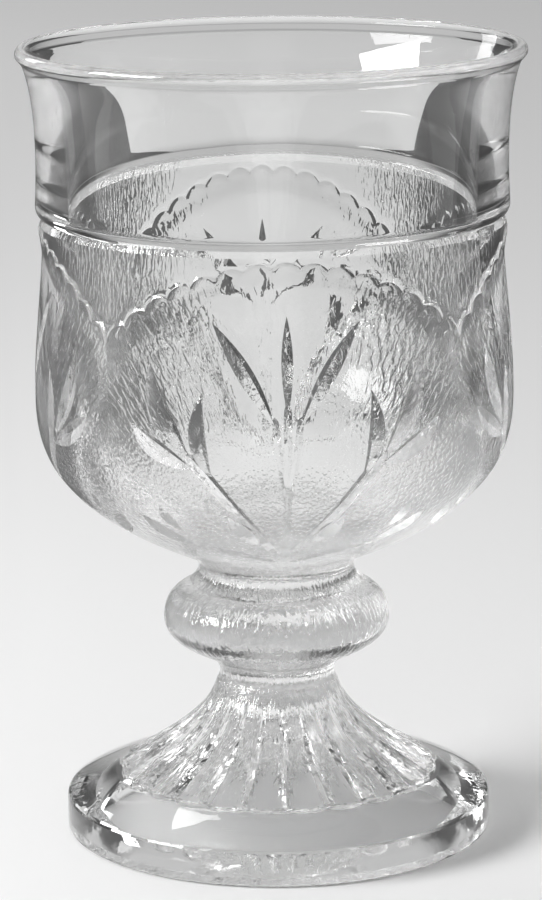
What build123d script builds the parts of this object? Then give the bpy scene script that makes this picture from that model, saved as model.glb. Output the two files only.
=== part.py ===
"""Pressed-glass water goblet: foot, fluted skirt, neck, knop, collar, bowl, drinking band and lip.

The goblet stands on the XY plane with its axis along +Z. Every section is a body of revolution
that meets the next one on a flat ring, and the ring's height and radius are written once.
"""
import os

from build123d import *

# Foot
foot_radius = 38.5
foot_wall_height = 6.6
foot_rise = 3.6
foot_crown = 0.35
foot_edge_round = 0.9
foot_rest_width = 7.5
hollow_height = 17.0

# Skirt, the fluted cone that stands on the foot
skirt_height = 16.8
foot_ledge = 9.7
hem_thickness = 0.8
hem_seat_margin = 0.5
flute_count = 24
scallop_radius = 5.2
scallop_depth = 1.6
pattern_turn = 3.0

# Stem: neck, knop and collar
neck_height = 3.6
neck_radius = 10.4
neck_flare = 0.6
knop_height = 14.3
knop_radius = 20.4
knop_belly_height = 8.4
collar_height = 5.9
collar_foot_radius = 15.0
collar_ring_height = 0.8
collar_ring_overhang = 0.6
collar_waist_depth = 1.4

# Bowl
bowl_height = 61.5
bowl_base_radius = 15.2
belly_height = 33.2
belly_radius = 43.0
bowl_wall = 7.4
bowl_floor = 7.0
shoulder_lip = 0.6
shoulder_drop = 1.2

# Band and lip
band_height = 27.1
band_step_height = 2.1
band_radius = 42.0
band_waist = 0.5
band_wall = 5.2
groove_depth = 1.3
flare_spread = 1.8
flare_wall = 2.5
lip_height = 3.1
lip_bead_height = 1.5
lip_overhang = 1.2
rim_wall = 2.4
lip_round = 1.1

# Handles of the curves, as shares of the radius and height that each curve spans
hollow_flank = (0.77, 0.3)
hollow_crown = 0.42
well_floor = 0.7
well_corner = 0.33
slope_foot = (0.55, 0.36)
slope_head = (0.91, 0.64)
knop_underside = (0.2, 0.3)
knop_side = 0.4
knop_shoulder = 0.52
knop_crown = 0.33
band_bend = 0.25
step_hollow = 0.15

# The lip's rounding takes no more than these shares of its wall and of its bead
lip_wall_share = 0.45
lip_bead_share = 0.75

# Levels, from the table up
seat_z = foot_wall_height + foot_rise
neck_z = seat_z + skirt_height
knop_z = neck_z + neck_height
collar_z = knop_z + knop_height
bowl_z = collar_z + collar_height
band_z = bowl_z + bowl_height
lip_z = band_z + band_height
top_z = lip_z + lip_height
belly_z = bowl_z + belly_height

# Radii that two sections share
hem_radius = foot_radius - foot_ledge
seat_radius = hem_radius + hem_seat_margin
mouth_radius = foot_radius - foot_rest_width
neck_end_radius = neck_radius + neck_flare
groove_radius = band_radius - groove_depth
shoulder_radius = groove_radius + shoulder_lip
band_waist_radius = band_radius - band_waist
flare_radius = band_radius + flare_spread
rim_radius = flare_radius + lip_overhang
inner_belly_radius = belly_radius - bowl_wall
inner_band_radius = band_radius - band_wall
inner_flare_radius = flare_radius - flare_wall
inner_rim_radius = rim_radius - rim_wall

# Space under the foot, which rises inside the skirt
with BuildPart() as foot_hollow:
    with BuildSketch(Plane.XZ):
        with BuildLine():
            dome = Bezier(
                (mouth_radius, 0),
                (hollow_flank[0] * mouth_radius, hollow_flank[1] * hollow_height),
                (hollow_crown * mouth_radius, hollow_height),
                (0, hollow_height),
            )
            Polyline(dome @ 1, (0, 0), dome @ 0)
        make_face()
    revolve(axis=Axis.Z)

# Space inside the cup, as the plunger leaves it
with BuildPart() as cup_space:
    with BuildSketch(Plane.XZ):
        floor_z = bowl_z + bowl_floor
        well = belly_z - floor_z
        upper = band_z - belly_z
        taper = (inner_flare_radius - inner_band_radius) / band_height
        with BuildLine():
            round_floor = Bezier(
                (0, floor_z),
                (well_floor * inner_belly_radius, floor_z),
                (inner_belly_radius, floor_z + well_corner * well),
                (inner_belly_radius, belly_z),
            )
            wall = Bezier(
                round_floor @ 1,
                (inner_belly_radius, belly_z + upper / 3),
                (inner_band_radius - taper * upper / 3, band_z - upper / 3),
                (inner_band_radius, band_z),
            )
            draft = Line(wall @ 1, (inner_flare_radius, lip_z))
            mouth = Line(draft @ 1, (inner_rim_radius, top_z))
            Polyline(mouth @ 1, (0, top_z), (0, floor_z))
        make_face()
    revolve(axis=Axis.Z)

# Foot plate: plain wall, softly crowned top and a flat seat for the skirt
with BuildPart() as foot_plate:
    with BuildSketch(Plane.XZ) as foot_section:
        with BuildLine():
            base = Polyline((0, 0), (foot_radius, 0), (foot_radius, foot_wall_height))
            crown = SagittaArc(base @ 1, (seat_radius, seat_z), foot_crown)
            Polyline(crown @ 1, (0, seat_z), (0, 0))
        make_face()
        fillet(foot_section.vertices().group_by(Axis.X)[-1], foot_edge_round)
    revolve(axis=Axis.Z)
    add(foot_hollow.part, mode=Mode.SUBTRACT)

# Skirt: concave cone whose hem is cut into scallops, one at the end of each flute
with BuildPart() as foot_skirt:
    with BuildSketch(Plane.XZ):
        hem_z = seat_z + hem_thickness
        sweep_height = neck_z - hem_z
        spread = hem_radius - neck_end_radius
        with BuildLine():
            slope = Bezier(
                (hem_radius, hem_z),
                (hem_radius - slope_foot[0] * spread, hem_z + slope_foot[1] * sweep_height),
                (hem_radius - slope_head[0] * spread, hem_z + slope_head[1] * sweep_height),
                (neck_end_radius, neck_z),
            )
            Polyline(slope @ 1, (0, neck_z), (0, seat_z), (hem_radius, seat_z), slope @ 0)
        make_face()
    revolve(axis=Axis.Z)
    with BuildSketch(Plane.XY.offset(seat_z)):
        Circle(hem_radius - scallop_depth)
        first_scallop = pattern_turn + 180 / flute_count
        with PolarLocations(hem_radius - scallop_radius, flute_count, start_angle=first_scallop):
            Circle(scallop_radius)
    extrude(amount=skirt_height, mode=Mode.INTERSECT)
    add(foot_hollow.part, mode=Mode.SUBTRACT)

# Neck: the narrowest part of the stem
with BuildPart() as stem_neck:
    with BuildSketch(Plane.XZ):
        with BuildLine():
            waist = ThreePointArc(
                (neck_end_radius, neck_z),
                (neck_radius, neck_z + neck_height / 2),
                (neck_end_radius, knop_z),
            )
            Polyline(waist @ 1, (0, knop_z), (0, neck_z), waist @ 0)
        make_face()
    revolve(axis=Axis.Z)

# Knop: flattened ball, fuller above its middle than below
with BuildPart() as knop:
    with BuildSketch(Plane.XZ):
        knop_belly_z = knop_z + knop_belly_height
        crown_height = collar_z - knop_belly_z
        swell_below = knop_radius - neck_end_radius
        swell_above = knop_radius - collar_foot_radius
        with BuildLine():
            lower_curve = Bezier(
                (neck_end_radius, knop_z),
                (
                    neck_end_radius + knop_underside[0] * swell_below,
                    knop_z + knop_underside[1] * knop_belly_height,
                ),
                (knop_radius, knop_z + knop_side * knop_belly_height),
                (knop_radius, knop_belly_z),
            )
            upper_curve = Bezier(
                lower_curve @ 1,
                (knop_radius, knop_belly_z + knop_shoulder * crown_height),
                (knop_radius - knop_crown * swell_above, collar_z),
                (collar_foot_radius, collar_z),
            )
            Polyline(upper_curve @ 1, (0, collar_z), (0, knop_z), lower_curve @ 0)
        make_face()
    revolve(axis=Axis.Z)

# Collar: a ring over the knop and a hollow waist under the bowl
with BuildPart() as stem_collar:
    with BuildSketch(Plane.XZ):
        ring_radius = collar_foot_radius + collar_ring_overhang
        ring_z = collar_z + collar_ring_height
        waist_z = (ring_z + bowl_z) / 2
        waist_radius = (ring_radius + bowl_base_radius) / 2 - collar_waist_depth
        with BuildLine():
            ring_edge = Line((collar_foot_radius, collar_z), (ring_radius, ring_z))
            hollow = ThreePointArc(
                ring_edge @ 1,
                (waist_radius, waist_z),
                (bowl_base_radius, bowl_z),
            )
            Polyline(hollow @ 1, (0, bowl_z), (0, collar_z), ring_edge @ 0)
        make_face()
    revolve(axis=Axis.Z)

# Bowl: round-bottomed cup with its widest girth below the middle
with BuildPart() as bowl:
    with BuildSketch(Plane.XZ):
        shoulder_z = band_z - shoulder_drop
        rise = shoulder_z - belly_z
        with BuildLine():
            round_base = Bezier(
                (bowl_base_radius, bowl_z),
                (belly_radius, bowl_z + belly_height / 3),
                (belly_radius, bowl_z + 2 * belly_height / 3),
                (belly_radius, belly_z),
            )
            draw_in = Bezier(
                round_base @ 1,
                (belly_radius, belly_z + rise / 3),
                (shoulder_radius, shoulder_z - rise / 3),
                (shoulder_radius, shoulder_z),
            )
            Polyline(
                draw_in @ 1,
                (groove_radius, band_z),
                (0, band_z),
                (0, bowl_z),
                round_base @ 0,
            )
        make_face()
    revolve(axis=Axis.Z)
    add(cup_space.part, mode=Mode.SUBTRACT)

# Drinking band: plain wall with a step at its foot and a slow flare to the lip
with BuildPart() as drinking_band:
    with BuildSketch(Plane.XZ):
        step_z = band_z + band_step_height
        plain_height = lip_z - step_z
        with BuildLine():
            step_sag = step_hollow * band_step_height
            underside = SagittaArc((groove_radius, band_z), (band_radius, step_z), step_sag)
            plain_wall = Bezier(
                underside @ 1,
                (band_waist_radius, step_z + plain_height / 3),
                (band_waist_radius, lip_z - band_bend * plain_height),
                (flare_radius, lip_z),
            )
            Polyline(plain_wall @ 1, (0, lip_z), (0, band_z), underside @ 0)
        make_face()
    revolve(axis=Axis.Z)
    add(cup_space.part, mode=Mode.SUBTRACT)

# Lip: fire-polished bead around the mouth
with BuildPart() as rim_lip:
    bead_z = top_z - lip_bead_height
    edge_round = min(lip_round, lip_wall_share * rim_wall, lip_bead_share * lip_bead_height)
    with BuildSketch(Plane.XZ):
        with BuildLine():
            Polyline(
                (0, lip_z),
                (flare_radius, lip_z),
                (rim_radius, bead_z),
                (rim_radius, top_z),
                (0, top_z),
                close=True,
            )
        make_face()
    revolve(axis=Axis.Z)
    add(cup_space.part, mode=Mode.SUBTRACT)
    fillet(rim_lip.edges().group_by(Axis.Z)[-1], edge_round)

sections = {
    "foot_plate": foot_plate,
    "foot_skirt": foot_skirt,
    "stem_neck": stem_neck,
    "knop": knop,
    "stem_collar": stem_collar,
    "bowl": bowl,
    "drinking_band": drinking_band,
    "rim_lip": rim_lip,
}

os.makedirs("parts", exist_ok=True)
for name, section in sections.items():
    section.part.label = name
    export_step(section.part, f"parts/{name}.step")
print(f"height {top_z:.1f} mm, rim diameter {2 * rim_radius:.1f} mm")
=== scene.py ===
# %% [markdown]
# # A water goblet in clear pressed glass
# The goblet is pressed in one piece: foot, fluted skirt, neck, knop, collar, patterned bowl, drinking band
# and lip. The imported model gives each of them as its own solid, and this lesson dresses each solid with a
# finer skin of its own. Lengths of the goblet are millimetres, as on a maker's drawing, and turn into metres
# only when a mesh is made. The stage at the end is laid out in metres.

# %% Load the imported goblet
import bpy
import bmesh
import math
import numpy as np
from mathutils import Matrix, Vector
from mathutils.geometry import delaunay_2d_cdt
from mathutils.kdtree import KDTree


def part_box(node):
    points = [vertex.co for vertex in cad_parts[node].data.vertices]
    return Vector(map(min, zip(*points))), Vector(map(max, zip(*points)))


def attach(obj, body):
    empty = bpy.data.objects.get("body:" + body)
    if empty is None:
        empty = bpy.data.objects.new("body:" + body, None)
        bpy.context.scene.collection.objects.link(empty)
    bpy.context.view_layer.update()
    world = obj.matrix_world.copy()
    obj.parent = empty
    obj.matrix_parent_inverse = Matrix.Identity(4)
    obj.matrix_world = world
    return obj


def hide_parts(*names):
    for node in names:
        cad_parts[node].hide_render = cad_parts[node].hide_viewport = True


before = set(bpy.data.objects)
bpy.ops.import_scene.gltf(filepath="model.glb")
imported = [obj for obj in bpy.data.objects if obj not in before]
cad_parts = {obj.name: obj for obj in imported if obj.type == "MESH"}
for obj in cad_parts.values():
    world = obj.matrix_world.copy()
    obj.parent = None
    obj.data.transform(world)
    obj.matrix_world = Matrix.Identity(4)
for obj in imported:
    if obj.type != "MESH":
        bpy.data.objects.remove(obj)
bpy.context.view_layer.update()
MM = 0.001
FAR_AWAY = 1e9


def levels(node):
    """Lowest height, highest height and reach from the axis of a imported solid, in millimetres."""
    low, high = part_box(node)
    return low.z / MM, high.z / MM, high.x / MM


_, seat_z, foot_radius = levels("foot_plate")
_, neck_z, _ = levels("foot_skirt")
_, knop_z, neck_end_radius = levels("stem_neck")
_, collar_z, knop_radius = levels("knop")
_, bowl_z, ring_radius = levels("stem_collar")
_, band_z, belly_radius = levels("bowl")
_, lip_z, flare_radius = levels("drinking_band")
_, top_z, rim_radius = levels("rim_lip")
print("solids:", sorted(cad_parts))
print(f"goblet {top_z:.1f} mm tall, {2 * rim_radius:.1f} mm across the rim")

# %% [markdown]
# ## The camera
# The goblet is seen through a long lens from a little above the rim, so that the mouth shows as a narrow
# ellipse. The lens, height and tilt follow from the ellipses of the mouth, the band and the foot. The
# camera has a very small yaw and roll, because the goblet leans slightly in the frame.

# %% Camera
frame_height = 900
focal_pixels = 3820.8
camera_distance = 669.2
camera_height = 220.1
camera_pitch = 0.22159
camera_yaw = 0.00107
camera_roll = -0.01007

view_camera = bpy.data.cameras.new("studio_camera")
view_camera.sensor_width = 36.0
view_camera.lens = focal_pixels * view_camera.sensor_width / frame_height
view_camera.clip_start = 0.01
camera = bpy.data.objects.new("studio_camera", view_camera)
bpy.context.scene.collection.objects.link(camera)
camera.matrix_world = (
    Matrix.Translation((0, -camera_distance * MM, camera_height * MM))
    @ Matrix.Rotation(camera_yaw, 4, "Z")
    @ Matrix.Rotation(math.pi / 2 - camera_pitch, 4, "X")
    @ Matrix.Rotation(camera_roll, 4, "Z")
)
bpy.context.scene.camera = camera
print(f"lens {view_camera.lens:.1f} mm, camera {camera_distance:.0f} mm away")

# %% [markdown]
# ## Curves of the section
# Every part of the goblet is turned about one axis, so its shape is a line from the axis outward. Most
# curves have the same handles as in the part's source. A curve is resampled at even steps, because even
# rings shade evenly and glass shows every uneven ring.

# %% Curve helpers
segments = 240
pattern_turn = 3.0
seam_turn = 180.0 + pattern_turn


def bezier(start, handle, second_handle, end, count=120):
    """Points of a cubic curve in (radius, height)."""
    t = np.linspace(0, 1, count)[:, None]
    corners = [np.array(p, float) for p in (start, handle, second_handle, end)]
    weights = [(1 - t) ** 3, 3 * (1 - t) ** 2 * t, 3 * (1 - t) * t**2, t**3]
    return sum(w * p for w, p in zip(weights, corners))


def arc(start, middle, end, count=60):
    """Points of the curve that goes through three points."""
    start, middle, end = (np.array(p, float) for p in (start, middle, end))
    handle = 2 * middle - (start + end) / 2
    t = np.linspace(0, 1, count)[:, None]
    return (1 - t) ** 2 * start + 2 * t * (1 - t) * handle + t**2 * end


def joined(*curves):
    """One line from several curves that follow each other."""
    points = [np.array(curves[0], float)]
    for curve in curves[1:]:
        points.append(np.array(curve, float)[1:])
    return np.vstack(points)


def arc_length(line):
    """Distance along a line, at each of its points."""
    return np.concatenate([[0], np.cumsum(np.hypot(*np.diff(line, axis=0).T))])


def even(line, step):
    """The line with points at even steps."""
    along = arc_length(line)
    count = max(2, int(round(along[-1] / step)) + 1)
    where = np.linspace(0, along[-1], count)
    return np.column_stack([np.interp(where, along, line[:, 0]), np.interp(where, along, line[:, 1])])


print("a turned wall has", segments, "segments")

# %% [markdown]
# ## Skins
# A skin is a set of walls. A wall is a grid of rings, and each ring is a circle or a lobed outline. The
# walls carry bark coordinates in millimetres, across the ridges and along them, so that the pitch of the
# bark is written in millimetres too. Two marks at each point say how much bark there is and how far its
# ridges break up into grains. Where two sections meet there is no surface in the real glass. Those flat
# faces close the mesh but use a see-through slot, so light goes straight from one section to the next.

# %% Skin helpers
ring_angles = np.radians(seam_turn + np.arange(segments + 1) * 360.0 / segments)


def around(radius, height, angles):
    """Points at a radius and height. Angle 0 is the front and angles grow to the right."""
    return np.stack([radius * np.sin(angles), -radius * np.cos(angles), height + 0 * angles], -1)


def wall(rings, inward=False, slot=0, pitch_radius=20.0, bark=1.0, grain=0.0):
    """A wall from an array of rings, each with one (radius, height) for every angle."""
    rings = np.array(rings, float)
    count, columns = rings.shape[:2]
    points = np.stack([around(ring[:, 0], ring[:, 1], ring_angles[:columns]) for ring in rings])
    coords = np.zeros((count, columns, 2))
    coords[..., 0] = ring_angles[None, :columns] * pitch_radius
    coords[..., 1] = arc_length(rings.mean(1))[:, None]
    index = np.arange(count * columns).reshape(count, columns)
    quads = np.stack([index[:-1, :-1], index[:-1, 1:], index[1:, 1:], index[1:, :-1]], -1).reshape(-1, 4)
    if inward:
        quads = quads[:, ::-1]
    marks = {}
    for label, value in (("bark", bark), ("grain", grain)):
        marks[label] = np.broadcast_to(np.array(value, float), (count, columns)).reshape(-1)
    return dict(points=points.reshape(-1, 3), faces=quads, coords=coords.reshape(-1, 2), slot=slot, **marks)


def turned(line, **options):
    """A wall of plain circles along a line of (radius, height)."""
    line = np.array(line, float)
    return wall(np.repeat(line[:, None, :], segments + 1, axis=1), **options)


def joint(inner, outer, height, up=True):
    """The flat face where two sections meet. inner and outer are radii, or one radius for every angle."""
    rings = np.zeros((2, segments + 1, 2))
    rings[0, :, 0] = outer
    rings[1, :, 0] = inner
    rings[..., 1] = height
    return wall(rings, inward=not up, slot=1, bark=0.0)


def make_piece(node, walls, finish, crease=14.0):
    """Welds the walls to one mesh with a finish, and puts it in the place of a solid."""
    name = f"{node}_glass"
    offset = np.cumsum([0] + [len(w["points"]) for w in walls])
    points = np.vstack([w["points"] for w in walls]) * MM
    faces = [tuple(f) for w, o in zip(walls, offset) for f in (w["faces"] + o)]
    coords = np.vstack([w["coords"][w["faces"].reshape(-1)] for w in walls])
    slots = np.concatenate([np.full(len(w["faces"]), w["slot"]) for w in walls])
    mesh = bpy.data.meshes.new(name)
    mesh.from_pydata([tuple(p) for p in points], [], faces)
    mesh.uv_layers.new(name="bark_mm").uv.foreach_set("vector", coords.astype(np.float32).ravel())
    mesh.polygons.foreach_set("material_index", slots.astype(np.int32))
    for label in ("bark", "grain"):
        mark = mesh.attributes.new(label, "FLOAT", "POINT")
        mark.data.foreach_set("value", np.concatenate([w[label] for w in walls]).astype(np.float32))
    weld_distance = 2e-6
    work = bmesh.new()
    work.from_mesh(mesh)
    bmesh.ops.remove_doubles(work, verts=work.verts, dist=weld_distance)
    work.to_mesh(mesh)
    work.free()
    mesh.shade_smooth()
    mesh.set_sharp_from_angle(angle=math.radians(crease))
    for material in (finish, joint_face):
        mesh.materials.append(material)
    piece = bpy.data.objects.new(name, mesh)
    bpy.context.scene.collection.objects.link(piece)
    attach(piece, "root")
    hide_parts(node)
    triangle_count = sum(len(p.vertices) - 2 for p in mesh.polygons)
    print(f"{name}: {triangle_count} triangles in place of {node}")


print(f"rings start at {seam_turn:.0f} degrees, behind the goblet")

# %% [markdown]
# ## Relief that more than one glass shares
# Pressed glass copies the steel of its mould, and cooling bends it a little. Both are heights that change
# over the surface. They could be painted as pictures, but heights worked out by nodes stay sharp from near,
# and as node groups they serve several glasses. Each group gives a height, and a Bump node reads it.

# %% Helpers for node groups
FLOAT, VECTOR = "NodeSocketFloat", "NodeSocketVector"


def new_group(name, inputs, outputs):
    """An empty shader group with float or vector sockets."""
    group = bpy.data.node_groups.new(name, "ShaderNodeTree")
    for label, kind, value in inputs:
        socket = group.interface.new_socket(label, in_out="INPUT", socket_type=kind)
        if value is not None:
            socket.default_value = value
    for label in outputs:
        group.interface.new_socket(label, in_out="OUTPUT", socket_type=FLOAT)
    return group, group.nodes.new("NodeGroupInput"), group.nodes.new("NodeGroupOutput")


def math_node(tree, operation, first, second):
    """A Math node. first and second are sockets or numbers."""
    node = tree.nodes.new("ShaderNodeMath")
    node.operation = operation
    for socket, value in zip(node.inputs, (first, second)):
        if isinstance(value, (int, float)):
            socket.default_value = value
        else:
            tree.links.new(value, socket)
    return node.outputs[0]


def set_inputs(node, **values):
    """Sets inputs of a node. A blank in a socket's name is written as an underscore."""
    for label, value in values.items():
        node.inputs[label.replace("_", " ")].default_value = value


def map_range(tree, source, start, end, to_start=0.0, to_end=1.0, soft=False):
    """A value that goes from to_start to to_end while a socket goes from start to end."""
    node = tree.nodes.new("ShaderNodeMapRange")
    node.interpolation_type = "SMOOTHSTEP" if soft else "LINEAR"
    set_inputs(node, From_Min=start, From_Max=end, To_Min=to_start, To_Max=to_end)
    tree.links.new(source, node.inputs["Value"])
    return node.outputs[0]


def axes_of(tree, source):
    """The X, Y and Z sockets of texture coordinates."""
    place = tree.nodes.new("ShaderNodeTexCoord")
    axes = tree.nodes.new("ShaderNodeSeparateXYZ")
    tree.links.new(place.outputs[source], axes.inputs[0])
    return axes.outputs


print("group sockets:", FLOAT, VECTOR)

# %% [markdown]
# The bark was cut into the mould as short ridges, so it is a noise that is long in one direction. In places
# the ridges turn to round grains, which is a second noise with no direction. A soft limit on both makes
# plateaus and valleys, as a cutting tool does, in place of the endless hills of plain noise.

# %% Bark relief
bark_group, entry, leave = new_group(
    "bark_relief",
    [
        ("Coordinates", VECTOR, None),
        ("Position", VECTOR, None),
        ("Pitch", FLOAT, 0.9),
        ("Length", FLOAT, 5.0),
        ("Grain", FLOAT, 0.0),
        ("Mask", FLOAT, 1.0),
    ],
    ["Height"],
)
split = bark_group.nodes.new("ShaderNodeSeparateXYZ")
bark_group.links.new(entry.outputs["Coordinates"], split.inputs[0])
across = math_node(bark_group, "DIVIDE", split.outputs["X"], entry.outputs["Pitch"])
along = math_node(bark_group, "DIVIDE", split.outputs["Y"], entry.outputs["Length"])
stretched = bark_group.nodes.new("ShaderNodeCombineXYZ")
bark_group.links.new(across, stretched.inputs["X"])
bark_group.links.new(along, stretched.inputs["Y"])
ridges = bark_group.nodes.new("ShaderNodeTexNoise")
set_inputs(ridges, Scale=1.0, Detail=1.5, Roughness=0.45, Distortion=0.5)
bark_group.links.new(stretched.outputs[0], ridges.inputs["Vector"])
grains = bark_group.nodes.new("ShaderNodeTexNoise")
set_inputs(grains, Detail=1.0, Roughness=0.4)
bark_group.links.new(entry.outputs["Position"], grains.inputs["Vector"])
grains_per_metre = math_node(bark_group, "DIVIDE", 1.0 / MM, entry.outputs["Pitch"])
bark_group.links.new(grains_per_metre, grains.inputs["Scale"])
blend = bark_group.nodes.new("ShaderNodeMix")
bark_group.links.new(entry.outputs["Grain"], blend.inputs["Factor"])
bark_group.links.new(ridges.outputs[0], blend.inputs["A"])
bark_group.links.new(grains.outputs[0], blend.inputs["B"])
valley, plateau = 0.34, 0.66
rounded = map_range(bark_group, blend.outputs["Result"], valley, plateau, soft=True)
masked = math_node(bark_group, "MULTIPLY", rounded, entry.outputs["Mask"])
bark_group.links.new(masked, leave.inputs["Height"])
print("bark:", len(bark_group.nodes), "nodes")

# %% [markdown]
# Plain walls of pressed glass are never quite flat: cooling leaves slow waves, and they make the edges of
# reflections wander. The same noise gives a faint haze where the polish of the fire is less.

# %% Cooling waves
wave_group, entry, leave = new_group(
    "cooling_waves", [("Position", VECTOR, None), ("Waves per metre", FLOAT, 90.0)], ["Height", "Haze"]
)
waves = wave_group.nodes.new("ShaderNodeTexNoise")
set_inputs(waves, Detail=1.0, Roughness=0.35)
wave_group.links.new(entry.outputs["Position"], waves.inputs["Vector"])
wave_group.links.new(entry.outputs["Waves per metre"], waves.inputs["Scale"])
wave_group.links.new(waves.outputs[0], leave.inputs["Height"])
haze_start, haze_full, most_haze = 0.4, 0.75, 0.03
haze = map_range(wave_group, waves.outputs[0], haze_start, haze_full, to_end=most_haze)
wave_group.links.new(haze, leave.inputs["Haze"])
print("waves:", len(wave_group.nodes), "nodes")

# %% [markdown]
# ## Four finishes of one glass
# All sections are the same clear glass. The foot is fire-polished with a faint mottle on its side wall, the
# band and lip are smooth, the stem has bark all over, and the bowl has bark only between its cuts. The bark
# is shallow for its pitch: steeper ridges would scatter every ray and make the glass look frosted.

# %% Glass materials
glass_index = 1.5
glass_tint = (0.98, 0.982, 0.98, 1.0)


def glass(name, wave_height, waves_per_metre, bark=None):
    """Clear glass with slow waves, and with bark where bark is (pitch, length, height)."""
    material = bpy.data.materials.new(name)
    material.use_nodes = True
    tree = material.node_tree
    shader = tree.nodes["Principled BSDF"]
    set_inputs(shader, Base_Color=glass_tint, Transmission_Weight=1.0, IOR=glass_index)
    place = tree.nodes.new("ShaderNodeTexCoord")
    slow = tree.nodes.new("ShaderNodeGroup")
    slow.node_tree = wave_group
    set_inputs(slow, Waves_per_metre=waves_per_metre)
    tree.links.new(place.outputs["Object"], slow.inputs["Position"])
    tree.links.new(slow.outputs["Haze"], shader.inputs["Roughness"])
    swell = tree.nodes.new("ShaderNodeBump")
    set_inputs(swell, Distance=wave_height * MM)
    tree.links.new(slow.outputs["Height"], swell.inputs["Height"])
    normal = swell
    if bark:
        pitch, length, height = bark
        coordinates = tree.nodes.new("ShaderNodeUVMap")
        coordinates.uv_map = "bark_mm"
        relief = tree.nodes.new("ShaderNodeGroup")
        relief.node_tree = bark_group
        set_inputs(relief, Pitch=pitch, Length=length)
        tree.links.new(coordinates.outputs[0], relief.inputs["Coordinates"])
        tree.links.new(place.outputs["Object"], relief.inputs["Position"])
        for label, socket in (("bark", "Mask"), ("grain", "Grain")):
            mark = tree.nodes.new("ShaderNodeAttribute")
            mark.attribute_name = label
            tree.links.new(mark.outputs["Fac"], relief.inputs[socket])
        normal = tree.nodes.new("ShaderNodeBump")
        set_inputs(normal, Distance=height * MM)
        tree.links.new(relief.outputs["Height"], normal.inputs["Height"])
        tree.links.new(swell.outputs[0], normal.inputs["Normal"])
    tree.links.new(normal.outputs[0], shader.inputs["Normal"])
    return material


foot_glass = glass("foot_glass", wave_height=0.03, waves_per_metre=120.0, bark=(1.1, 1.6, 0.012))
band_glass = glass("band_glass", wave_height=0.02, waves_per_metre=90.0)
bark_glass = glass("bark_glass", wave_height=0.04, waves_per_metre=140.0, bark=(0.8, 3.0, 0.12))
patterned_glass = glass("patterned_glass", wave_height=0.03, waves_per_metre=120.0, bark=(0.7, 2.4, 0.078))
print("glasses:", [m.name for m in bpy.data.materials if m.name.endswith("glass")])

# %% [markdown]
# A joint has no surface in the real glass, so its material lets light go straight on.

# %% Joint material
joint_face = bpy.data.materials.new("joint_face")
joint_face.use_nodes = True
joint_face.node_tree.nodes.remove(joint_face.node_tree.nodes["Principled BSDF"])
straight_on = joint_face.node_tree.nodes.new("ShaderNodeBsdfTransparent")
joint_output = joint_face.node_tree.nodes["Material Output"]
joint_face.node_tree.links.new(straight_on.outputs[0], joint_output.inputs["Surface"])
print("joints:", joint_face.name)

# %% [markdown]
# ## Foot
# The foot is a plain round plate with a soft edge. Underneath it is hollow, which saves glass and keeps the
# goblet from rocking. Its top meets the scalloped hem of the skirt, so the inner edge of the top follows
# the lobes of that hem, and the flat joint lies inside them.

# %% Foot plate
foot_wall_height = 6.6
seat_radius = 29.3
mouth_radius = 31.0
hollow_height = 17.0
hollow_flank, hollow_crown = (0.77, 0.3), 0.42
crown_bulge = (0.13, 0.33)
foot_edge = 0.9
crown_from, crown_aim = 8, 20
hem_radius = 28.8
scallop_radius = 5.2
flute_count = 24

dome = bezier(
    (mouth_radius, 0),
    (hollow_flank[0] * mouth_radius, hollow_flank[1] * hollow_height),
    (hollow_crown * mouth_radius, hollow_height),
    (0, hollow_height),
    count=400,
)
dome_seat_radius = float(np.interp(seat_z, dome[:, 1], dome[:, 0]))
flute_angle = 2 * math.pi / flute_count
from_groove = np.mod(ring_angles - math.radians(pattern_turn), flute_angle)
in_flute = 2 * from_groove / flute_angle - 1
off_lobe = in_flute * flute_angle / 2
lobe_centre = hem_radius - scallop_radius
lobe_reach = np.sqrt(scallop_radius**2 - (lobe_centre * np.sin(off_lobe)) ** 2)
hem_outline = lobe_centre * np.cos(off_lobe) + lobe_reach


def rounded_corner(before, corner, after, radius, count=10):
    """A curve that replaces a corner, starting and ending one radius away from it."""
    corner = np.array(corner, float)
    start = corner + radius * (before - corner) / np.linalg.norm(before - corner)
    end = corner + radius * (after - corner) / np.linalg.norm(after - corner)
    t = np.linspace(0, 1, count)[:, None]
    return (1 - t) ** 2 * start + 2 * t * (1 - t) * corner + t**2 * end


crown_radius = (foot_radius + seat_radius) / 2 + crown_bulge[0]
crown_z = (foot_wall_height + seat_z) / 2 + crown_bulge[1]
crown = arc((foot_radius, foot_wall_height), (crown_radius, crown_z), (seat_radius, seat_z))
low_corner = np.array([foot_radius, 0.0])
high_corner = np.array([foot_radius, foot_wall_height])
foot_side = joined(
    rounded_corner(np.array([mouth_radius, 0.0]), low_corner, high_corner, foot_edge),
    rounded_corner(low_corner, high_corner, crown[crown_aim], foot_edge),
    crown[crown_from:],
)
ledge = np.zeros((3, segments + 1, 2))
for row, share in enumerate((0.0, 0.5, 1.0)):
    ledge[row, :, 0] = seat_radius + share * (hem_outline - seat_radius)
    ledge[row, :, 1] = seat_z
lower_dome = dome[dome[:, 1] <= seat_z]
lower_dome = np.vstack([lower_dome, [dome_seat_radius, seat_z]])
foot_line = even(foot_side, step=0.45)
foot_mottle = (foot_line[:, 1] < foot_wall_height - foot_edge).astype(float)[:, None]
foot_walls = [
    turned(foot_line, pitch_radius=foot_radius, bark=foot_mottle, grain=0.5),
    wall(ledge, bark=0.0),
    turned(even(lower_dome, step=0.6), inward=True, bark=0.0),
    turned([(foot_radius - foot_edge, 0), (mouth_radius, 0)], inward=True, bark=0.0),
    joint(dome_seat_radius, hem_outline, seat_z),
]
make_piece("foot_plate", foot_walls, foot_glass)

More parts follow.
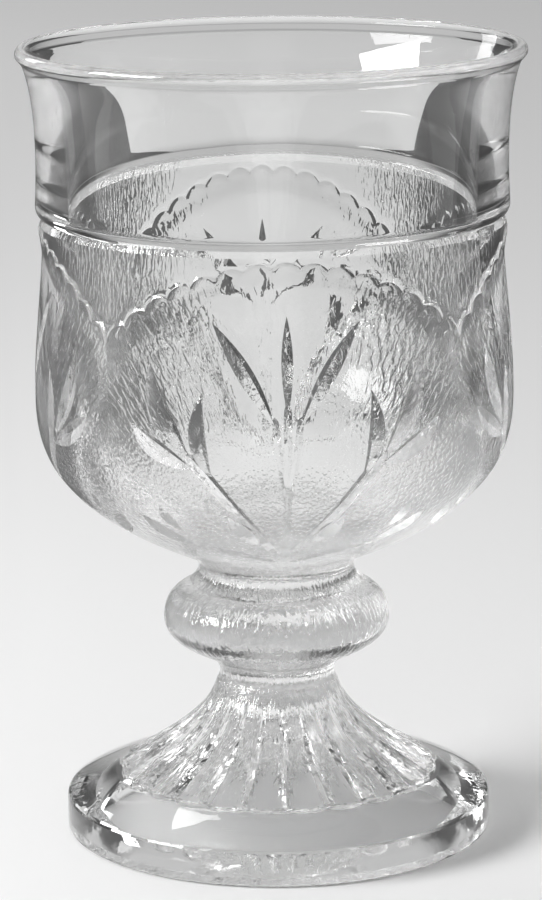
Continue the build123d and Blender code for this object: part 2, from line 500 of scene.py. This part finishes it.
# %% [markdown]
# ## Skirt
# The skirt is a concave cone of 24 flutes. Each flute is a convex lobe between two narrow grooves, and ends
# in a scallop of the hem. The column angles are spaced so that a column falls exactly in each groove, which
# keeps the groove crisp.

# %% Fluted skirt
hem_thickness = 0.8
flute_depth = 1.5
flute_sharpness = 3.2
flute_start = 0.6
flute_bark, hem_bark, groove_fade = 0.85, 0.2, 1.25
hem_round = 0.35
slope_head, slope_foot = (0.91, 0.64), (0.55, 0.36)
hem_z = seat_z + hem_thickness
spread = hem_radius - neck_end_radius
sweep = neck_z - hem_z
skirt_line = bezier(
    (neck_end_radius, neck_z),
    (hem_radius - slope_head[0] * spread, hem_z + slope_head[1] * sweep),
    (hem_radius - slope_foot[0] * spread, hem_z + slope_foot[1] * sweep),
    (hem_radius, hem_z),
    count=400,
)
skirt_along = arc_length(skirt_line)
skirt_normal = np.gradient(skirt_line, axis=0)[:, ::-1] * (1, -1)
skirt_normal /= -np.linalg.norm(skirt_normal, axis=1)[:, None]


def on_skirt(where, values):
    """Values of the skirt's line at distances along it."""
    return np.interp(where, skirt_along, values)


rows, rounding_rows, uphill_row = 48, 5, -6
top_rows = slice(0, rows)
round_rows = slice(rows - 1, rows - 1 + rounding_rows)
all_rows = rows + rounding_rows + 1
skirt_rings = np.zeros((all_rows, segments + 1, 2))
skirt_bark = np.full((all_rows, segments + 1), hem_bark)
for column, (edge_radius, place) in enumerate(zip(hem_outline, in_flute)):
    reach = np.interp(edge_radius, skirt_line[:, 0], skirt_along)
    where = np.linspace(0, reach, rows)
    ramp = np.clip(where / reach / flute_start, 0, 1)
    depth = flute_depth * ramp * ramp * (3 - 2 * ramp) * abs(place) ** flute_sharpness
    radius = on_skirt(where, skirt_line[:, 0]) - depth * on_skirt(where, skirt_normal[:, 0])
    height = on_skirt(where, skirt_line[:, 1]) - depth * on_skirt(where, skirt_normal[:, 1])
    side = np.array([edge_radius, seat_z])
    brim = np.array([edge_radius, height[-1]])
    uphill = np.array([radius[uphill_row], height[uphill_row]])
    rounding = rounded_corner(uphill, brim, side, hem_round, rounding_rows)
    skirt_rings[top_rows, column] = np.column_stack([radius, height])
    skirt_rings[round_rows, column] = rounding
    skirt_rings[-2, column] = (edge_radius, (rounding[-1, 1] + seat_z) / 2)
    skirt_rings[-1, column] = side
    skirt_bark[top_rows, column] = flute_bark * np.clip(groove_fade - abs(place) ** 3, 0, 1)
upper_dome = np.vstack([[dome_seat_radius, seat_z], dome[dome[:, 1] > seat_z]])
skirt_walls = [
    wall(skirt_rings[::-1], pitch_radius=20.0, bark=skirt_bark[::-1], grain=0.15),
    turned(even(upper_dome, step=0.5), inward=True, bark=0.0),
    joint(dome_seat_radius, hem_outline, seat_z, up=False),
    joint(0.0, neck_end_radius, neck_z),
]
make_piece("foot_skirt", skirt_walls, bark_glass)

# %% [markdown]
# ## Neck, knop and collar
# These three carry the bark all the way round. They are plain turned walls, and their liveliness comes from
# the bark relief alone, because its ridges are too fine for the rings of the mesh.

# %% Neck
neck_radius = 10.4
stem_grain = 0.1


def stem_section(node, line, step, pitch_radius):
    """A turned section of the stem with bark all over, closed by a joint at each end."""
    (low_radius, low_z), (high_radius, high_z) = line[0], line[-1]
    walls = [
        turned(even(line, step), pitch_radius=pitch_radius, grain=stem_grain),
        joint(0.0, low_radius, low_z, up=False),
        joint(0.0, high_radius, high_z),
    ]
    make_piece(node, walls, bark_glass)


neck_line = arc((neck_end_radius, neck_z), (neck_radius, (neck_z + knop_z) / 2), (neck_end_radius, knop_z))
stem_section("stem_neck", neck_line, step=0.35, pitch_radius=14.0)

# %% [markdown]
# The knop is a flattened ball, fuller above its widest girth than below it. Two curves that meet upright at
# the girth give that shape with no crease, where a stretched ball would be the same above and below.

# %% Knop
collar_foot_radius = 15.0
knop_belly_height = 8.4
knop_underside, knop_side = (0.2, 0.3), 0.4
knop_shoulder, knop_crown = 0.52, 0.33
knop_belly_z = knop_z + knop_belly_height
above = collar_z - knop_belly_z
swell_below, swell_above = knop_radius - neck_end_radius, knop_radius - collar_foot_radius
knop_line = joined(
    bezier(
        (neck_end_radius, knop_z),
        (
            neck_end_radius + knop_underside[0] * swell_below,
            knop_z + knop_underside[1] * knop_belly_height,
        ),
        (knop_radius, knop_z + knop_side * knop_belly_height),
        (knop_radius, knop_belly_z),
    ),
    bezier(
        (knop_radius, knop_belly_z),
        (knop_radius, knop_belly_z + knop_shoulder * above),
        (knop_radius - knop_crown * swell_above, collar_z),
        (collar_foot_radius, collar_z),
    ),
)
stem_section("knop", knop_line, step=0.4, pitch_radius=18.0)

# %% [markdown]
# The collar is a ring over the knop and a hollow waist under the bowl. The ring keeps a crisp edge, which
# divides the knop from the bowl.

# %% Collar
bowl_base_radius = 15.2
collar_waist = 1.4
collar_ring_height = 0.8
ring_z = collar_z + collar_ring_height
waist_radius = (ring_radius + bowl_base_radius) / 2 - collar_waist
collar_line = joined(
    [(collar_foot_radius, collar_z), (ring_radius, ring_z)],
    arc((ring_radius, ring_z), (waist_radius, (ring_z + bowl_z) / 2), (bowl_base_radius, bowl_z)),
)
stem_section("stem_collar", collar_line, step=0.35, pitch_radius=16.0)

# %% [markdown]
# ## Bowl: its outline
# The bowl is round below and draws in a little to its shoulder. It has four equal panels, each with the
# same spray of leaves. One half of a panel is drawn flat, in millimetres round the belly and along the
# wall, and mirrored and turned to make the whole bowl.

# %% Bowl outline
panel_count = 4
shoulder_radius, groove_radius = 41.3, 40.7
shoulder_drop = 1.2
belly_height = 33.2
shoulder_z = band_z - shoulder_drop
belly_z = bowl_z + belly_height
shoulder_rise = shoulder_z - belly_z
bowl_line = joined(
    bezier(
        (bowl_base_radius, bowl_z),
        (belly_radius, bowl_z + belly_height / 3),
        (belly_radius, bowl_z + 2 * belly_height / 3),
        (belly_radius, belly_z),
        count=400,
    ),
    bezier(
        (belly_radius, belly_z),
        (belly_radius, belly_z + shoulder_rise / 3),
        (shoulder_radius, shoulder_z - shoulder_rise / 3),
        (shoulder_radius, shoulder_z),
        count=400,
    ),
    [(shoulder_radius, shoulder_z), (groove_radius, band_z)],
)
bowl_along = arc_length(bowl_line)
wall_length = bowl_along[-1]
half_panel = belly_radius * math.pi / panel_count


def on_wall(z):
    """Distance along the bowl's wall at a height."""
    return np.interp(z, bowl_line[:, 1], bowl_along)


def narrowing(s):
    """How much the bowl is narrower than its belly at a distance along the wall."""
    return np.interp(s, bowl_along, bowl_line[:, 0]) / belly_radius


def drawn(points):
    """Drawing points from (degrees from the panel's middle, height)."""
    points = np.array(points, float)
    return np.column_stack([np.radians(points[:, 0]) * belly_radius, on_wall(points[:, 1])])


print(f"half panel {half_panel:.1f} by {wall_length:.1f} mm")

# %% [markdown]
# ## Bowl: leaves and stems
# The spray is cut as V grooves into the glass. A leaf or stem is given by its tip, middle and foot, each as
# degrees from the panel's middle and height, then half its width and the slope of its sides. A leaf leans:
# its side away from the panel's middle is wider than the other, so the light falls differently on the two.

# %% Leaves and stems
leaves = (
    ((0.0, 101.5), (0.0, 94.0), (0.0, 84.5), 1.0, 0.42),
    ((17.5, 100.3), (9.6, 92.5), (3.0, 83.0), 1.45, 0.5),
    ((19.6, 88.5), (20.3, 80.5), (17.6, 72.5), 1.55, 0.56),
    ((33.0, 93.0), (29.4, 85.0), (22.6, 76.5), 2.0, 0.56),
    ((38.0, 82.3), (31.5, 78.8), (22.0, 75.0), 1.8, 0.56),
    ((40.0, 65.0), (36.0, 62.0), (28.0, 58.3), 1.9, 0.68),
    ((33.0, 67.6), (31.8, 65.0), (30.0, 62.5), 1.2, 0.68),
    ((15.0, 66.2), (11.3, 62.9), (7.6, 59.6), 1.6, 0.68),
    ((25.0, 59.0), (17.6, 57.6), (7.7, 56.4), 1.6, 0.68),
)
stems = (
    ((0.0, 87.0), (0.0, 72.0), (0.0, 57.0), 0.7, 0.36),
    ((3.0, 84.5), (1.8, 77.0), (0.0, 69.0), 0.6, 0.36),
    ((24.0, 77.5), (14.0, 68.5), (2.0, 57.0), 1.2, 0.6),
    ((29.0, 58.6), (15.0, 56.6), (2.0, 54.5), 0.8, 0.6),
)
outer_share = 0.32
leaf_skew, leaf_fullness = 1.1, 0.85
stem_taper, stem_bluntness = 0.06, 0.7
leaf_points, stem_points = 26, 40


def lens(t):
    """Width of a leaf from its tip at 0 to its foot at 1, as a share of its greatest width."""
    return np.sin(math.pi * np.clip(t, 0, 1) ** leaf_skew) ** leaf_fullness


def strip(t):
    """Width of a stem, which only narrows at its ends."""
    return np.clip(np.minimum(t, 1 - t) / stem_taper, 0, 1) ** stem_bluntness


cuts = []
for shapes, width_at, count in ((leaves, lens, leaf_points), (stems, strip, stem_points)):
    for tip, middle, foot, half_width, slope in shapes:
        spine = arc(*drawn([tip, middle, foot]), count)
        lean = outer_share if width_at is lens and tip[0] > 0 else 0.0
        cuts.append((spine, half_width, slope, width_at, lean))
print(f"{len(leaves)} leaves and {len(stems)} stems in half a panel")

# %% [markdown]
# Where cuts cross, the deeper one wins, as it would under a cutting wheel. The depth at a point follows
# from its distance to the nearest stretch of each spine.

# %% Depth of the cuts


def cut_depth(x, s):
    """Depth of the deepest cut at points of the drawing, 0 outside every cut."""
    squeeze = narrowing(s)
    deepest = np.zeros(len(x))
    for spine, half_width, slope, width_at, lean in cuts:
        near = np.full(len(x), FAR_AWAY)
        share = np.zeros(len(x))
        facet = np.ones(len(x))
        for k in range(len(spine) - 1):
            (ax, a_s), (bx, b_s) = spine[k], spine[k + 1]
            px, ps = (x - ax) * squeeze, s - a_s
            ex, es = (bx - ax) * squeeze, b_s - a_s
            t = np.clip((px * ex + ps * es) / (ex * ex + es * es), 0, 1)
            gap = np.hypot(px - t * ex, ps - t * es)
            closer = gap < near
            near = np.where(closer, gap, near)
            share = np.where(closer, (k + t) / (len(spine) - 1), share)
            facet = np.where(closer, 1 + lean * np.sign(ex * ps - es * px), facet)
        depth = slope * (half_width * width_at(share) - near / facet)
        deepest = np.maximum(deepest, depth)
    return deepest


spine_points = np.vstack([spine for spine, *_ in cuts])
deepest_cut = cut_depth(spine_points[:, 0], spine_points[:, 1]).max()
print(f"{len(cuts)} cuts, {deepest_cut:.2f} mm at the deepest")

# %% [markdown]
# ## Bowl: the scalloped arch
# The arch follows a parabola over the panel. Its lobes are pushed outward from the parabola and meet in
# cusps. Only half a lobe stands at the middle of the panel, so that the mirrored half completes it.

# %% Scalloped edge of the arch
arch_top, arch_drop = 109.7, 14.0
arch_points, arch_stride = 400, 8
lobes = 7.5
lobe_rise = 0.95
seam_foot_z, seam_points = 54.0, 40


def scalloped_edge(points_per_lobe=10):
    """The plain arch and the lobed edge over half a panel, from its middle to the next panel."""
    x = np.linspace(0, half_panel, arch_points)
    s = on_wall(arch_top - arch_drop * (x / half_panel) ** 2)
    along = arc_length(np.column_stack([x, s]))
    where = np.linspace(0, along[-1], int(points_per_lobe * lobes) + 1)
    step = along[-1] / lobes
    phase = np.mod(where / step + 0.5, 1.0)
    rise = lobe_rise * (1 - (2 * phase - 1) ** 2)
    slope_x, slope_s = np.gradient(x, along), np.gradient(s, along)
    out_x = -np.interp(where, along, slope_s)
    out_s = np.interp(where, along, slope_x)
    line_x = np.interp(where, along, x) + out_x * rise
    line_s = np.interp(where, along, s) + out_s * rise
    line = np.column_stack([line_x, line_s])
    line[0, 0] = 0.0
    line[-1] = (half_panel, s[-1])
    plain_arch = np.column_stack([x, s])[::arch_stride]
    return plain_arch, np.clip(line, (0, 0), (half_panel, wall_length))


arch_line, edge_line = scalloped_edge()
meeting_s = edge_line[-1, 1]
seam_s = np.linspace(meeting_s, on_wall(seam_foot_z), seam_points)
seam_line = np.column_stack([np.full(seam_points, half_panel), seam_s])
print(f"edge {arc_length(edge_line)[-1]:.1f} mm long, {lobes} lobes on each side")

# %% [markdown]
# ## Bowl: its relief
# A fine bead runs along the lobes. Under the plain arch the glass dips in a smooth cove down to the
# field. The bark is strong at the sides of a panel and weaker in the lower bowl, and the upper middle is
# almost clear. The limit between them is ragged, as a hand-cut mould has it. A cut has hardly any bark.

# %% Relief of the bowl
bead_height, bead_width = 0.18, 0.9
field_recess, recess_z = 0.5, (66.0, 94.0)
cove_width = 4.0
seam_fade = 9.0
quiet_middle = 0.12
clear_field = (9.0, 15.0)
clear_ground = (13.0, 29.0)
field_start, ground_start = 0.5, 2.5
low_bark, low_bark_z = 0.6, (72.0, 84.0)
ragged_waves = ((2.2, 0.45, 0.0), (1.4, 1.1, 1.0))
cut_limit, cut_bark = 0.02, 0.05


def distance_to(line, x, s):
    """Distance from points of the drawing to a line."""
    near = np.full(len(x), FAR_AWAY)
    for (ax, a_s), (bx, b_s) in zip(line[:-1], line[1:]):
        ex, es = bx - ax, b_s - a_s
        t = np.clip(((x - ax) * ex + (s - a_s) * es) / (ex * ex + es * es), 0, 1)
        near = np.minimum(near, np.hypot(x - ax - t * ex, s - a_s - t * es))
    return near


def smooth(low, high, value):
    """A soft step from 0 at low to 1 at high."""
    t = np.clip((value - low) / (high - low), 0, 1)
    return t * t * (3 - 2 * t)


def inside_arch(x, s):
    """True below the plain arch."""
    return s < np.interp(x, arch_line[:, 0], arch_line[:, 1])


def relief(x, s):
    """Height over the bowl's plain wall, and how much bark there is, at points of the drawing."""
    edge_gap = distance_to(edge_line, x, s)
    arch_gap = distance_to(arch_line, x, s)
    seam_gap = distance_to(seam_line, x, s) * narrowing(s)
    inside = inside_arch(x, s)
    bead = bead_height * np.clip(1 - edge_gap / bead_width, 0, 1) ** 2
    by_edge = np.clip(1 - arch_gap / cove_width, 0, 1)
    by_seam = np.clip(1 - seam_gap / cove_width, 0, 1) * smooth(meeting_s - seam_fade, meeting_s, s)
    nearness = np.maximum(by_edge, by_seam)
    dip = field_recess * smooth(*on_wall(recess_z), s)
    cove = np.where(inside, -dip * (1 - smooth(0, 1, nearness)), 0)
    cut = cut_depth(x, s)
    ragged_x = x * narrowing(s)
    for reach, pace, start in ragged_waves:
        ragged_x = ragged_x + reach * np.sin(pace * s + start)
    side_bark = quiet_middle + (1 - quiet_middle) * smooth(*clear_field, ragged_x)
    lower_bark = low_bark * (1 - smooth(*on_wall(low_bark_z), s))
    field_bark = smooth(0.0, field_start, 1 - nearness) * np.maximum(side_bark, lower_bark)
    beside_bead = smooth(bead_width, ground_start * bead_width, edge_gap)
    ground_bark = beside_bead * smooth(*clear_ground, ragged_x)
    bark = np.where(inside, field_bark, ground_bark)
    return bead + cove - cut, np.where(cut > cut_limit, cut_bark, bark)


print(f"bead {bead_height} mm high, field {field_recess} mm deep")

# %% [markdown]
# ## Bowl: the mesh
# A grid fine enough for every cut would have far too many faces. A constrained Delaunay triangulation takes
# the lines of the drawing as edges and fills the rest with an even spread of points, so the triangles are
# small everywhere and their edges lie exactly where the cuts do.

# %% Lines that become edges
wall_margin = 0.3
width_slack, snap_to_middle = 0.02, 0.06
same_point = 1e-3
guides = [edge_line]
for spine, half_width, _, width_at, lean in cuts:
    t = np.linspace(0, 1, len(spine))
    squeeze = narrowing(spine[:, 1])
    direction = np.gradient(spine, axis=0) * np.column_stack([squeeze, np.ones(len(spine))])
    direction /= np.linalg.norm(direction, axis=1)[:, None]
    width = half_width * width_at(t)
    guides.append(spine)
    for side in (-1, 1):
        reach = side * (1 + side * lean) * width
        offset = np.column_stack([-direction[:, 1] * reach / squeeze, direction[:, 0] * reach])
        guides.append(spine + offset)

drawing_points, drawing_edges = [], []
for guide in guides:
    last = None
    for x, s in guide:
        in_width = -width_slack <= x <= half_panel + width_slack
        if not in_width or s < wall_margin or s > wall_length - wall_margin:
            last = None
            continue
        x = 0.0 if x < snap_to_middle else min(x, half_panel)
        if last is not None and math.dist(drawing_points[last], (x, s)) < same_point:
            continue
        drawing_points.append((x, s))
        if last is not None:
            drawing_edges.append((last, len(drawing_points) - 1))
        last = len(drawing_points) - 1
print(f"{len(guides)} lines with {len(drawing_edges)} edges")

# %% [markdown]
# Points between the lines stand in staggered rows, so that the triangles are near to equal sides. Points
# too close to a line are left out, and so are those inside a cut, whose flat sides need none.

# %% Points between the lines
point_step, least_columns = 0.62, 10
border_room, field_room = 0.16, 0.3
merge_distance = 1e-5
guide_tree = KDTree(len(drawing_points))
for number, (x, s) in enumerate(drawing_points):
    guide_tree.insert((x, s, 0), number)
guide_tree.balance()
spread_points = []
row_count = int(round(wall_length / point_step)) + 1
for row, s in enumerate(np.linspace(0, wall_length, row_count)):
    ends = row in (0, row_count - 1)
    count = max(least_columns, int(round(half_panel * narrowing(s) / point_step)))
    if ends:
        count = segments // (2 * panel_count)
    xs = np.linspace(0, half_panel, count + 1)
    if row % 2 and not ends:
        xs = np.concatenate([[0], (xs[:-1] + xs[1:]) / 2, [half_panel]])
    spread_points.extend((x, s, ends) for x in xs)
spread_x = np.array([p[0] for p in spread_points])
spread_s = np.array([p[1] for p in spread_points])
in_cut = cut_depth(spread_x, spread_s) > 0
for (x, s, ends), cut_here in zip(spread_points, in_cut):
    on_border = x in (0.0, half_panel)
    clear_of = guide_tree.find((x, s, 0))[2] > (border_room if on_border else field_room)
    if ends or (clear_of and (on_border or not cut_here)):
        drawing_points.append((x, s))

drawing = [Vector(p) for p in drawing_points]
flat_points, _, triangles, _, _, _ = delaunay_2d_cdt(drawing, drawing_edges, [], 0, merge_distance)
flat = np.array([(p.x, p.y) for p in flat_points])
triangles = np.array([t for t in triangles if len(t) == 3])
print(f"half panel: {len(flat)} points, {len(triangles)} triangles")

# %% [markdown]
# The flat half panel is now bent round the bowl. Each point moves out from the wall by its relief. The bark
# coordinates fan out from the foot of the spray inside the arch, and run straight up outside it.

# %% Bend the drawing round the bowl
fan_z = 56.0
fan_radius = 36.0
grain_z, grain_fade = (66.0, 88.0), 0.85
panel_shift = np.array([90.0, 17.0])
foot_fade, top_fade = 1.5, 0.8
flat_x, flat_s = flat[:, 0], flat[:, 1]
rise, bark_here = relief(flat_x, flat_s)
rise = rise * smooth(0, foot_fade, flat_s) * smooth(0, top_fade, wall_length - flat_s)
bowl_normal = np.gradient(bowl_line, axis=0)[:, ::-1] * (1, -1)
bowl_normal /= np.linalg.norm(bowl_normal, axis=1)[:, None]


def on_bowl(values):
    """Values of the bowl's line at the points of the flat panel."""
    return np.interp(flat_s, bowl_along, values)


radius = on_bowl(bowl_line[:, 0]) + rise * on_bowl(bowl_normal[:, 0])
height = on_bowl(bowl_line[:, 1]) + rise * on_bowl(bowl_normal[:, 1])
true_x = flat_x * narrowing(flat_s)
from_fan = flat_s - on_wall(fan_z)
fan_coords = np.column_stack([np.arctan2(true_x, from_fan) * fan_radius, np.hypot(true_x, from_fan)])
straight_coords = np.column_stack([flat_x, flat_s])
grain_here = 1 - grain_fade * smooth(*on_wall(grain_z), flat_s)
centre = flat[triangles].mean(1)
is_field = inside_arch(centre[:, 0], centre[:, 1])

bowl_walls = []
for panel in range(panel_count):
    for mirror in (1, -1):
        angle = math.radians(pattern_turn + 360 / panel_count * panel) + mirror * flat_x / belly_radius
        points = np.stack([radius * np.sin(angle), -radius * np.cos(angle), height], -1)
        for chosen, coords in ((is_field, fan_coords), (~is_field, straight_coords)):
            shifted = coords * (mirror, 1) + panel_shift * panel
            faces = triangles[chosen] if mirror > 0 else triangles[chosen][:, ::-1]
            marks = dict(bark=bark_here, grain=grain_here)
            bowl_walls.append(dict(points=points, faces=faces, coords=shifted, slot=0, **marks))
print(f"outside of the bowl: {len(bowl_walls)} walls, relief {rise.min():.2f} to {rise.max():.2f} mm")

# %% [markdown]
# The inside of the cup is smooth, because the plunger of the press is a plain turned tool. It is a
# turned wall with a round floor, and it closes the bowl's mesh together with the two joints.

# %% Cup and bowl
cup_floor = 7.0
well_floor, well_corner = 0.7, 0.33
inner_belly, inner_band, inner_flare = 35.6, 36.7, 41.5
cup_floor_z = bowl_z + cup_floor
well, upper = belly_z - cup_floor_z, band_z - belly_z
cup_line = joined(
    bezier(
        (0, cup_floor_z),
        (well_floor * inner_belly, cup_floor_z),
        (inner_belly, cup_floor_z + well_corner * well),
        (inner_belly, belly_z),
        count=300,
    ),
    bezier(
        (inner_belly, belly_z),
        (inner_belly, belly_z + upper / 3),
        (inner_band, band_z - upper / 3),
        (inner_band, band_z),
        count=200,
    ),
)
bowl_walls.append(turned(even(cup_line, step=0.9), inward=True, bark=0.0))
bowl_walls.append(joint(0.0, bowl_base_radius, bowl_z, up=False))
bowl_walls.append(joint(inner_band, groove_radius, band_z))
make_piece("bowl", bowl_walls, patterned_glass, crease=11.0)

# %% [markdown]
# ## Drinking band
# Above the pattern the wall is plain, because lips touch it. A small step and groove divide it from the
# bowl. The wall is thick below and thin above, as the plunger of the press leaves it: its inside is nearly
# upright first and flares late, and this makes the dark flanks of the band.

# %% Drinking band
band_radius, waist = 42.0, 41.5
band_bend = 0.25
step_height = 2.1
step_hollow = (0.27, -0.17)
inner_slope = 0.46
flare_handle = 6.0
upright_handle = (0.3, 14.5)
step_z = band_z + step_height
plain = lip_z - step_z
plain_line = bezier(
    (band_radius, step_z),
    (waist, step_z + plain / 3),
    (waist, lip_z - band_bend * plain),
    (flare_radius, lip_z),
    count=200,
)
step_middle = ((groove_radius + band_radius) / 2 + step_hollow[0], (band_z + step_z) / 2 + step_hollow[1])
step_line = arc((groove_radius, band_z), step_middle, (band_radius, step_z), count=20)
band_line = joined(step_line, plain_line)
inner_line = bezier(
    (inner_band, band_z),
    (inner_band + upright_handle[0], band_z + upright_handle[1]),
    (inner_flare - inner_slope * flare_handle, lip_z - flare_handle),
    (inner_flare, lip_z),
)
band_walls = [
    turned(even(band_line, step=0.3), pitch_radius=band_radius),
    turned(even(inner_line, step=0.6), inward=True, pitch_radius=band_radius),
    joint(inner_band, groove_radius, band_z, up=False),
    joint(inner_flare, flare_radius, lip_z),
]
make_piece("drinking_band", band_walls, band_glass)

# %% [markdown]
# ## Lip
# The lip is a bead that was rounded in the fire, so it has no edge anywhere. Three curves follow each
# other: the swell of the bead, its shoulder up to the crest, and the inside down to the band.

# %% Lip
bead_drop, crest_inset = 1.3, 1.05
under_handle, side_handle = (0.5, 0.95), 0.7
over_handle, crest_outside, crest_inside = 0.72, 0.55, 0.9
lip_handle = 1.7
bead_z = top_z - bead_drop
crest_radius = rim_radius - crest_inset
lip_line = joined(
    bezier(
        (flare_radius, lip_z),
        (flare_radius + under_handle[0], lip_z + under_handle[1]),
        (rim_radius, bead_z - side_handle),
        (rim_radius, bead_z),
        count=30,
    ),
    bezier(
        (rim_radius, bead_z),
        (rim_radius, bead_z + over_handle),
        (crest_radius + crest_outside, top_z),
        (crest_radius, top_z),
        count=30,
    ),
    bezier(
        (crest_radius, top_z),
        (crest_radius - crest_inside, top_z),
        (inner_flare + inner_slope * lip_handle, lip_z + lip_handle),
        (inner_flare, lip_z),
        count=60,
    ),
)
lip_walls = [
    turned(even(lip_line, step=0.16), pitch_radius=rim_radius, bark=0.0),
    joint(inner_flare, flare_radius, lip_z, up=False),
]
make_piece("rim_lip", lip_walls, band_glass, crease=30.0)

# %% [markdown]
# ## Table
# Clear glass shows what stands round it, so the stage matters as much as the glass. A pale sheet of paper
# fills the view. Its colour carries a painted shade on the side of the lamp, which offsets the lamp's pool
# of light so that the paper there doesn't turn pure white.

# %% Table


def flat_sheet(name, corners, colour, rough):
    """A flat sheet of the stage between corners in metres."""
    mesh = bpy.data.meshes.new(name)
    mesh.from_pydata(corners, [], [tuple(range(len(corners)))])
    material = bpy.data.materials.new(name)
    material.use_nodes = True
    surface = material.node_tree.nodes["Principled BSDF"]
    set_inputs(surface, Base_Color=(colour, colour, colour, 1.0), Roughness=rough, Specular_IOR_Level=0.2)
    mesh.materials.append(material)
    sheet = bpy.data.objects.new(name, mesh)
    bpy.context.scene.collection.objects.link(sheet)
    return sheet


half_table = 12.0
table_z = -0.0002
table_shade, lamp_side_painted_shade = 0.86, 0.5
grade_length = 2.0
# Painted shade: the paper's colour falls towards the lamp, to offset its pool of light, and comes back to
# the plain shade beyond it
painted_shade_stops = ((0.06, table_shade), (0.3, lamp_side_painted_shade), (0.5, lamp_side_painted_shade), (0.8, table_shade))
corner_signs = ((-1, -1), (1, -1), (1, 1), (-1, 1))
table_corners = [(half_table * x, half_table * y, table_z) for x, y in corner_signs]
table = flat_sheet("table", table_corners, table_shade, rough=0.85)
paper = table.data.materials[0].node_tree
to_lamp = map_range(paper, axes_of(paper, "Object")["X"], 0.0, -grade_length)
# Painted shade along X, read from these stops, becomes the paper's base colour
painted_shade_grade = paper.nodes.new("ShaderNodeValToRGB")
painted_shade_grade.color_ramp.interpolation = "EASE"
for position, shade in painted_shade_stops:
    painted_shade_grade.color_ramp.elements.new(position).color = (shade, shade, shade, 1.0)
for end_stop in (0, -1):
    painted_shade_grade.color_ramp.elements[end_stop].color = (table_shade, table_shade, table_shade, 1.0)
paper.links.new(to_lamp, painted_shade_grade.inputs["Fac"])
paper.links.new(painted_shade_grade.outputs["Color"], paper.nodes["Principled BSDF"].inputs["Base Color"])
print("table:", 2 * half_table, "m wide")

# %% [markdown]
# ## Dark cloths
# On pale ground alone a clear bowl would have no outline, so a photographer lays dark cloth at both
# sides of the view: the flanks of the glass bend their rays to it and turn grey. Here a cloth lies in
# each of the four corners of the table. A pale lane is left between them along each main direction, so
# that the bowl is clear from the front, the sides and the back. The camera doesn't see the cloths
# themselves, and they neither darken the table nor throw a shadow.

# %% Dark cloths
cloth_z = 0.001
far_edge = [(3.0, 0.27), (3.0, 3.0), (0.27, 3.0)]
close_edge = [(0.052, 0.1), (0.1, 0.042)]
wide_edge = [(0.06, 0.19), (0.13, 0.07)]
cloths = {
    "back_left": (-1, 1, close_edge + far_edge, 0.1),
    "back_right": (1, 1, wide_edge + far_edge, 0.07),
    "front_left": (-1, -1, close_edge + far_edge, 0.25),
    "front_right": (1, -1, wide_edge + far_edge, 0.25),
}
for side_name, (x_sign, y_sign, outline, shade) in cloths.items():
    cloth_corners = [(x_sign * x, y_sign * y, cloth_z) for x, y in outline]
    cloth = flat_sheet(f"dark_cloth_{side_name}", cloth_corners, shade, rough=0.95)
    cloth.visible_camera = False
    cloth.visible_diffuse = False
    cloth.visible_shadow = False

# %% [markdown]
# ## Lamps
# A large soft light at the left gives the white reflections. It has a grid, which narrows its beam and
# keeps the paper beside it from burning out. A small panel behind it lights the far end of the table.

# %% Lamps


def soft_light(name, place, target, width, height, power, spread=180.0):
    """A rectangular soft light that faces a point."""
    lamp = bpy.data.lights.new(name, "AREA")
    lamp.shape = "RECTANGLE"
    lamp.size, lamp.size_y = width, height
    lamp.energy = power
    lamp.spread = math.radians(spread)
    light = bpy.data.objects.new(name, lamp)
    light.location = place
    light.rotation_euler = (Vector(target) - Vector(place)).to_track_quat("-Z", "Y").to_euler()
    bpy.context.scene.collection.objects.link(light)


softbox_place, softbox_target = (-0.85, -0.30, 0.5), (0, 0, 0.1)
panel_place, panel_target = (-0.95, 1.15, 0.55), (-0.1, 1.1, 0)
soft_light("left_softbox", softbox_place, softbox_target, width=0.58, height=0.36, power=8.3, spread=144.0)
soft_light("left_panel", panel_place, panel_target, width=0.5, height=0.5, power=2.8)

# %% [markdown]
# ## Room
# The room is pale above, and dark at both sides low down, as a studio with dark walls is. A ray inside
# thick glass is turned back many times before it leaves, so the limits for bounces are high: with the
# usual ones such rays would end in black.

# %% Room
room = bpy.data.worlds.new("pale_room")
room.use_nodes = True
sky = room.node_tree
facing = axes_of(sky, "Generated")
ceiling_light, wall_light = 0.52, 0.05
wall_top, wall_full = 0.6, 0.25
side_start, side_full = 0.12, 0.25
sideways = math_node(sky, "ABSOLUTE", facing["X"], 0.0)
low_down = map_range(sky, facing["Z"], wall_top, wall_full, soft=True)
aside = map_range(sky, sideways, side_start, side_full, soft=True)
darkness = math_node(sky, "MULTIPLY", low_down, aside)
level = map_range(sky, darkness, 0.0, 1.0, ceiling_light, wall_light)
sky.links.new(level, sky.nodes["Background"].inputs["Color"])
scene = bpy.context.scene
scene.world = room
glass_bounces, joint_bounces = 48, 64
scene.cycles.max_bounces = glass_bounces
scene.cycles.glossy_bounces = glass_bounces
scene.cycles.transmission_bounces = glass_bounces
scene.cycles.transparent_max_bounces = joint_bounces
scene.view_settings.view_transform = "Standard"
print("room:", room.name, "with light", ceiling_light, "above and", wall_light, "at the sides")
